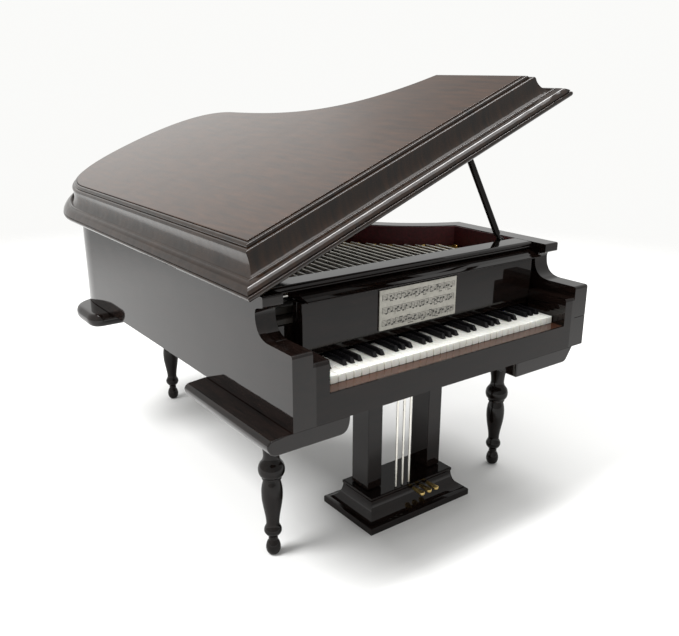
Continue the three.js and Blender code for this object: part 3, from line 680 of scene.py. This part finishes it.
def black_key(x):
    """A black key whose sides and front slope in towards its top."""
    low, high = KEY_TOP + 0.1, BLACK_TOP
    half, lean, slope = BLACK_WIDTH / 2, 0.3, 1.0
    corners = [
        (x - half, BLACK_FRONT, low), (x + half, BLACK_FRONT, low),
        (x + half, KEY_REAR, low), (x - half, KEY_REAR, low),
        (x - half + lean, BLACK_FRONT + slope, high), (x + half - lean, BLACK_FRONT + slope, high),
        (x + half - lean, KEY_REAR, high), (x - half + lean, KEY_REAR, high),
    ]
    faces = [[0, 1, 2, 3], [4, 5, 6, 7], [0, 1, 5, 4], [1, 2, 6, 5], [2, 3, 7, 6], [3, 0, 4, 7]]
    return corners, faces


def black_keys():
    gaps = [i for i in range(1, WHITE_COUNT) if i % OCTAVE not in (3, 0)]
    shape = together([black_key(KEYS_LEFT + i * KEY_PITCH) for i in gaps])
    return make("ebony_keys", shape, EBONY, ["black_keys"], edge=0.16)


# ---- music card ----------------------------------------------------------------------------
def music_card():
    """A card with rows of staves and made-up notes."""
    low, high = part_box("music_card")
    x0, x1 = ((v - PLAN_ORIGIN.x) / MM for v in (low.x, high.x))
    y = (low.y - PLAN_ORIGIN.y) / MM
    z0, z1 = low.z / MM, high.z / MM
    sheet = block((x0, x1), (y + 0.06, y + 0.5), (z0, z1))
    make("sheet_card", sheet, CARD, ["music_card"], edge=0.05)
    draw = random.Random(7)
    marks = []
    ink_at = (y + 0.01, y + 0.08)
    for row in range(3):
        base = z1 - 4.1 - row * 5.0
        for line in range(5):
            z = base + line * 0.55
            marks.append(block((x0 + 1.2, x1 - 1.2), ink_at, (z, z + 0.11)))
        for bar_line in range(5):
            x = x0 + 1.2 + bar_line * (x1 - x0 - 2.4) / 4
            marks.append(block((x - 0.07, x + 0.07), ink_at, (base, base + 2.3)))
        x = x0 + 3.2
        while x < x1 - 2:
            step = draw.choice([0, 1, 2, 3, 4, 5, 6])
            z = base - 0.2 + step * 0.3
            head = [Vector((0.5 * math.cos(a) + 0.1 * math.sin(a), 0.34 * math.sin(a)))
                    for a in (i * math.pi / 6 for i in range(12))]
            marks.append(prism([Vector((x + p.x, z + p.y)) for p in head], *ink_at, "Y"))
            stem = (z, z + 1.9) if step < 4 else (z - 1.9, z)
            side = 0.42 if step < 4 else -0.48
            marks.append(block((x + side, x + side + 0.12), ink_at, stem))
            if draw.random() < 0.5 and x < x1 - 3.5:
                beam = stem[1] - 0.3 if step < 4 else stem[0]
                marks.append(block((x + side, x + side + 1.6), ink_at, (beam, beam + 0.3)))
            x += draw.choice([1.1, 1.5, 1.5, 2.1])
    make("sheet_notes", together(marks), INK)


# ---- inside --------------------------------------------------------------------------------
def string_end(x):
    """Where a string at this x meets the inside of the plate."""
    line = offset(case_points(), WALL + STRING_INSET)
    crossings = [
        a.y + (x - a.x) / (b.x - a.x) * (b.y - a.y)
        for a, b in zip(line, line[1:])
        if (a.x - x) * (b.x - x) <= 0 and a.x != b.x
    ]
    return min(y for y in crossings if y > STRING_FRONT)


def string_places():
    count = int(2 * STRING_REACH / STRING_PITCH) + 1
    return [-STRING_REACH + i * STRING_PITCH for i in range(count)]


def strings():
    lines = []
    for x in string_places():
        ends = (x, STRING_FRONT, STRING_Z), (x, string_end(x), STRING_Z)
        lines.append(rod(*ends, STRING_RADIUS, 14))
    reach = STRING_REACH + CAPO_BEYOND
    capo = block((-reach, reach), (STRING_FRONT - CAPO_FRONT, STRING_FRONT + CAPO_BACK),
                 (STRING_Z - CAPO_BELOW, STRING_Z + CAPO_ABOVE))
    make("wires", together([capo, *lines]), STEEL, ["strings"])


def along_path(points, spacing):
    """Points at an even spacing along a path, with the direction there."""
    places, carry = [], 0.0
    for a, b in zip(points, points[1:]):
        length = (b - a).length
        direction = (b - a).normalized()
        while carry <= length:
            places.append((a + direction * carry, direction))
            carry += spacing
        carry -= length
    return places


def string_plate():
    outer = WALL + GAP
    plan = band(outer, outer + PLATE_WIDTH, PLATE_FRONT)
    make("iron_plate", prism(plan, BOARD_TOP + GAP, PLATE_TOP), GOLD, ["string_plate"], edge=0.3)
    tabs = []
    path = offset(case_points(HITCH_FRONT), WALL + HITCH_INSET)
    for point, direction in along_path(path, HITCH_SPACING)[1:-1]:
        across = Vector((-direction.y, direction.x))
        outline = [point + direction * 1.5 * math.cos(a) + across * 1.1 * math.sin(a)
                   for a in (i * math.pi / 8 for i in range(16))]
        tabs.append(prism(outline, PLATE_TOP - 0.2, PLATE_TOP + 1.3))
    make("hitch_tabs", together(tabs), BRASS, edge=0.5)


def hitch_pins():
    pins = []
    for x in string_places():
        y = string_end(x)
        pins.append(rod((x, y + 0.5, PLATE_TOP - 0.2), (x, y + 0.5, STRING_Z + 0.2), 0.4, 12))
    make("hitch_pins", together(pins), BRASS, edge=0.1)


def bridge():
    outer, inner = (
        offset(case_points(BRIDGE_FRONT), WALL + inset)[35:-2]
        for inset in (BRIDGE_INSET, BRIDGE_INSET + BRIDGE_WIDTH)
    )
    shape = prism(outer + inner[::-1], BOARD_TOP + GAP, STRING_Z - 0.9)
    make("long_bridge", shape, BOARD, ["bridge"], edge=0.3)


# ---- lyre ----------------------------------------------------------------------------------
def lyre_base():
    """A low plinth under a hollow that sweeps in to a small top."""
    plinth, neck = LYRE_PLINTH, LYRE_TOP - LYRE_CAP

    def level(z, inset):
        half = LYRE_HALF - 5.8 * inset
        x0, x1 = LYRE_X - half, LYRE_X + half
        y0, y1 = LYRE_FRONT + 7.4 * inset, LYRE_BACK - 8 * inset
        return [(x0, y0, z), (x1, y0, z), (x1, y1, z), (x0, y1, z)]

    levels = [level(0, 0.02), level(0.3, 0), level(plinth - 0.3, 0), level(plinth, 0.02)]
    for step in range(17):
        angle = (0.06 + 0.9 * step / 16) * math.pi / 2
        levels.append(level(plinth + (neck - plinth) * (1 - math.cos(angle)), 0.9 * math.sin(angle)))
    levels += [level(neck, 0.86), level(LYRE_TOP - 0.2, 0.86), level(LYRE_TOP, 0.9)]
    corners = [c for ring in levels for c in ring]
    faces = [[0, 1, 2, 3], [len(corners) - 4 + i for i in range(4)]]
    for ring in range(len(levels) - 1):
        for side in range(4):
            a, b = ring * 4 + side, ring * 4 + (side + 1) % 4
            faces.append([a, b, b + 4, a + 4])
    # The lyre foot's thinner-coated lacquer gives a dimmer reflection, as painted shade.
    return make("lyre_foot", (corners, faces), SHADED_FRONT_WOOD, ["lyre_base"], angle=30)


def pedals():
    for i in (1, 2, 3):
        low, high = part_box(f"pedal_{i}")
        middle = (low + high) / 2 - PLAN_ORIGIN
        x, z = middle.x / MM, low.z / MM
        toe, heel = (low.y - PLAN_ORIGIN.y) / MM + TOE_RADIUS, (high.y - PLAN_ORIGIN.y) / MM
        path = [Vector((x + 0.7, heel)), Vector((x - 0.7, heel)), Vector((x - 1.15, toe + 0.7))]
        path += [Vector((x + TOE_RADIUS * math.cos(a), toe + TOE_RADIUS * math.sin(a)))
                 for a in (math.radians(153 + 234 * s / 20) for s in range(21))]
        shape = prism(path, z, z + PEDAL_THICK)
        make(f"pedal_tongue_{i}", shape, BRASS, [f"pedal_{i}"], edge=0.3)
        rod_low, rod_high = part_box(f"pedal_rod_{i}")
        top = (rod_low + rod_high) / 2 - PLAN_ORIGIN
        x, y = top.x / MM, top.y / MM
        shape = rod((x, y, LYRE_TOP + GAP), (x, y, CASE_BOTTOM - GAP), WIRE_RADIUS, 20)
        make(f"pedal_wire_{i}", shape, STEEL, [f"pedal_rod_{i}"])


# ---- lid -----------------------------------------------------------------------------------
def moulding_profile():
    """Distances out from the top panel, and heights over the lid's underside."""
    top = LID_THICK - 0.4
    path = Outline(0, top, 8)
    path.line(0.5, top).curve(1.5, top, 1.6, 12.1)
    path.line(1.5, 11.95).line(2.3, 11.95).curve(3.4, 11.95, 3.5, 10.9)
    path.curve(3.5, 8.6, 4.6, 5.6, 7, 4.3)
    path.line(7.1, 4.6).curve(7.4, 5.2, 8, 5.1).curve(8.4, 5, 8.5, 4.7)
    path.curve(9.6, 4.7, 11.6, 3.7, 12.4, 2.5)
    path.line(12, 2.2).line(12.2, 2).curve(13, 2, 12.95, 1.2)
    path.curve(12.9, 0.2, 12, 0).line(0, 0)
    return path.points


def lid_moulding():
    profile = moulding_profile()
    plan = lid_points()
    count = len(plan)
    corners = [(p.x, p.y, step.y) for step in profile for p in offset(plan, -step.x, True)]
    faces = []
    for ring in range(len(profile)):
        below = (ring + 1) % len(profile) * count
        for i in range(count):
            j = (i + 1) % count
            faces.append([ring * count + i, ring * count + j, below + j, below + i])
    # The border's darker lacquer is painted shade.
    make("lid_border", (corners, faces), SHADED_BORDER_WOOD, ["lid_moulding"], "lid",
         angle=30, to_frame=lid_place)


def lid_panel():
    outline = offset(lid_points(), GAP, True)
    shape = prism(outline, LID_THICK - LID_PANEL, LID_THICK)
    make("lid_top", shape, LID_WOOD, ["lid_panel"], "lid", edge=0.25, to_frame=lid_place)


# ---- build ---------------------------------------------------------------------------------
case_body()
slip_reflection_sheet()
rim_lining()
panel_ledge()
cross_shelf()
for node in ("bottom_board", "key_bed", "panel_end_left", "panel_end_right", "belly_rail"):
    refine(node, CASE_WOOD, 0.2)
# These front-facing parts take the thinner-coated lacquer, whose dimmer reflection is painted shade.
for node, edge in {"fallboard_strip": 0.2, "front_panel": 0.3, "lyre_column_left": 0.35,
                   "lyre_column_right": 0.35}.items():
    refine(node, SHADED_FRONT_WOOD, edge)
leg_block_left()
leg_block_right()
leg_block_tail()
leg("turned_leg_left", "leg_front_left")
leg("turned_leg_right", "leg_front_right")
leg("turned_leg_tail", "leg_tail")
white_keys()
black_keys()
music_card()
string_plate()
strings()
hitch_pins()
bridge()
refine("soundboard", BOARD, 0.2)
refine("tuning_block", BOARD, 0.2)
lyre_base()
pedals()
lid_moulding()
lid_panel()
refine("prop_cleat", LID_WOOD, 0.3, "lid")
refine("prop_stick", TURNED_WOOD, 0.1, "prop")
refine("prop_bracket", TURNED_WOOD, 0.12)
refine("prop_pin", TURNED_WOOD, 0.08)
for i in (1, 2):
    refine(f"hinge_case_leaf_{i}", BRASS, 0.08)
    refine(f"hinge_lid_leaf_{i}", BRASS, 0.08, "lid")
    refine(f"hinge_pin_{i}", STEEL, 0.08)


# ---- stage, light and camera ---------------------------------------------------------------
FLOOR_FADE = (0.36, 0.66)  # metres from the middle, where the floor starts and ends to fade
CAMERA_AT = (-196.37, -188.65, 179.76)
CAMERA_TURN, CAMERA_TILT, CAMERA_ROLL, CAMERA_LENS = -36.55, 90 - 17.57, 0.19, 40.33
LIGHTS = {  # place, target and size in metres, power in watts, and whether lacquer mirrors it
    "left": ((-0.6, 0.05, 0.85), (-0.1, 0, 0), (0.35, 0.35), 12, False),
    "overhead": ((0.18, -0.08, 1.25), (0.18, -0.08, 0), (0.75, 0.6), 4.5, True),
    "tube": ((0.18, 0.02, 1.24), (0.18, 0.02, 0), (0.85, 0.12), 6, True),
}


def studio_surface():
    """Matt and pale, fading out into the room a good way behind the piano."""
    nodes = Nodes("studio")
    tone = nodes.noise((1, 1, 1), 3, detail=2)
    nodes.link(nodes.ramp(tone, (0.3, (0.71, 0.71, 0.705)), (0.7, (0.73, 0.73, 0.725))),
               nodes.shader.inputs["Base Color"])
    nodes.set(Roughness=0.9)
    length = nodes.add("ShaderNodeVectorMath", operation="LENGTH")
    nodes.link(nodes.position((1, 1, 0)), length.inputs[0])
    fade = nodes.add("ShaderNodeMapRange", interpolation_type="SMOOTHSTEP")
    for key, value in {"From Min": FLOOR_FADE[0], "From Max": FLOOR_FADE[1]}.items():
        fade.inputs[key].default_value = value
    nodes.link(length.outputs["Value"], fade.inputs["Value"])
    mix = nodes.add("ShaderNodeMixShader")
    nodes.link(fade.outputs["Result"], mix.inputs["Fac"])
    nodes.link(nodes.shader.outputs["BSDF"], mix.inputs[1])
    nodes.link(nodes.add("ShaderNodeBsdfTransparent").outputs["BSDF"], mix.inputs[2])
    nodes.link(mix.outputs["Shader"], nodes.tree.nodes["Material Output"].inputs["Surface"])
    return nodes.material


def floor():
    sides, radius = 96, FLOOR_FADE[1]
    turns = [2 * math.pi * i / sides for i in range(sides)]
    ring = [(radius * math.cos(turn), radius * math.sin(turn), 0) for turn in turns]
    mesh = bpy.data.meshes.new("floor")
    mesh.from_pydata(ring, [], [list(range(sides))])
    thing = bpy.data.objects.new("floor", mesh)
    thing.data.materials.append(studio_surface())
    bpy.context.scene.collection.objects.link(thing)


def area_light(name, place_at, target, size, power, mirrored):
    data = bpy.data.lights.new(name, "AREA")
    data.shape = "RECTANGLE"
    data.size, data.size_y = size
    data.energy = power
    light = bpy.data.objects.new(name, data)
    light.location = place_at
    light.visible_glossy = mirrored
    light.rotation_euler = (Vector(target) - Vector(place_at)).to_track_quat("-Z", "Y").to_euler()
    bpy.context.scene.collection.objects.link(light)


def surroundings():
    """A pale room: brighter behind the piano, dimmer to its back right and in front of it."""
    world = bpy.data.worlds.new("room")
    world.use_nodes = True
    tree = world.node_tree
    direction = tree.nodes.new("ShaderNodeTexCoord").outputs["Generated"]

    def towards(vector, start, end, low, high):
        dot = tree.nodes.new("ShaderNodeVectorMath")
        dot.operation = "DOT_PRODUCT"
        dot.inputs[1].default_value = Vector(vector).normalized()
        tree.links.new(direction, dot.inputs[0])
        smooth = tree.nodes.new("ShaderNodeMapRange")
        smooth.interpolation_type = "SMOOTHSTEP"
        for key, value in {"From Min": start, "From Max": end, "To Min": low, "To Max": high}.items():
            smooth.inputs[key].default_value = value
        tree.links.new(dot.outputs["Value"], smooth.inputs["Value"])
        return smooth.outputs["Result"]

    product = None
    for term in (
        towards((0.28, 0.9, 0.33), 0.965, 1, 0.96, 1.2),
        towards((0.64, 0.58, 0.52), 0.93, 1, 1, 0.5),
        towards((0.3, -0.95, 0.1), 0.2, 0.9, 1, 0.75),
    ):
        if product is None:
            product = term
            continue
        node = tree.nodes.new("ShaderNodeMath")
        node.operation = "MULTIPLY"
        tree.links.new(product, node.inputs[0])
        tree.links.new(term, node.inputs[1])
        product = node.outputs["Value"]
    background = tree.nodes["Background"]
    background.inputs["Color"].default_value = (1, 1, 0.985, 1)
    tree.links.new(product, background.inputs["Strength"])
    bpy.context.scene.world = world


def colours():
    """Plain colours, as a product picture on white has them."""
    bpy.context.scene.view_settings.view_transform = "Standard"


def camera():
    data = bpy.data.cameras.new("camera")
    data.sensor_width = 36
    data.lens = CAMERA_LENS
    data.clip_start = 0.01
    thing = bpy.data.objects.new("camera", data)
    thing.location = place([CAMERA_AT])[0]
    turns = ((CAMERA_TURN, "Z"), (CAMERA_TILT, "X"), (CAMERA_ROLL, "Z"))
    turn, tilt, roll = (Matrix.Rotation(math.radians(angle), 4, axis) for angle, axis in turns)
    thing.rotation_euler = (turn @ tilt @ roll).to_euler()
    bpy.context.scene.collection.objects.link(thing)
    bpy.context.scene.camera = thing


floor()
surroundings()
for light_name, settings in LIGHTS.items():
    area_light(light_name, *settings)
colours()
camera()
